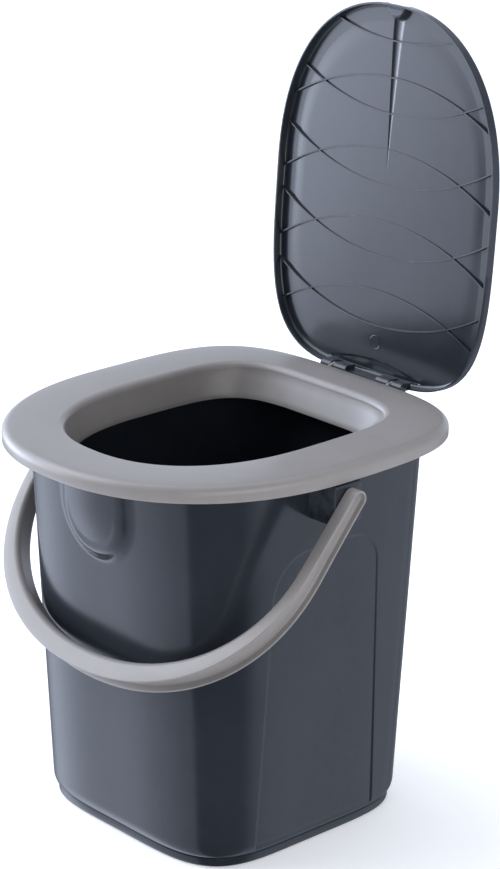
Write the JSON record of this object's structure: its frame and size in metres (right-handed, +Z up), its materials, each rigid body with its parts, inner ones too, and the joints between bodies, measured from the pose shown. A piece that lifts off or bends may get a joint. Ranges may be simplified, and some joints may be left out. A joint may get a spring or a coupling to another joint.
{
  "type": "portable camp toilet",
  "caption": "Tapered bucket with a pouring spout, clip-on seat with splash skirt, ribbed hinged lid and swinging carrying handle.",
  "frame": {"origin": "on the floor, under the middle of the whole object's box with the lid standing open and the handle hanging in front", "axes": "+Z up; -Y towards the front, where the pouring spout is; +Y towards the hinge; X left to right, the line of symmetry is x = 0"},
  "size_m": [0.4146, 0.4553, 0.7824],
  "materials": {
    "anthracite_plastic": "glossy moulded polypropylene, anthracite",
    "grey_plastic": "satin moulded polypropylene, warm light grey"
  },
  "bodies": {
    "bucket": {"bucket": "anthracite_plastic"},
    "seat": {"seat": "grey_plastic"},
    "lid": {"lid": "anthracite_plastic", "hinge_pin_left": "anthracite_plastic", "hinge_pin_right": "anthracite_plastic"},
    "handle": {"carry_handle": "grey_plastic"}
  },
  "joints": [
    {"name": "seat_lift", "type": "slide", "parent": "bucket", "child": "seat", "axis": [0, 0, 1], "range_m": [0, 0.038]},
    {"name": "lid_hinge", "type": "hinge", "parent": "seat", "child": "lid", "pos_m": [0, 0.1805, 0.4055], "axis": [1, 0, 0], "range_deg": [0, 94.65]},
    {"name": "handle_swing", "type": "hinge", "parent": "bucket", "child": "handle", "pos_m": [0, -0.0216, 0.3785], "axis": [-1, 0, 0], "range_deg": [0, 176]}
  ]
}
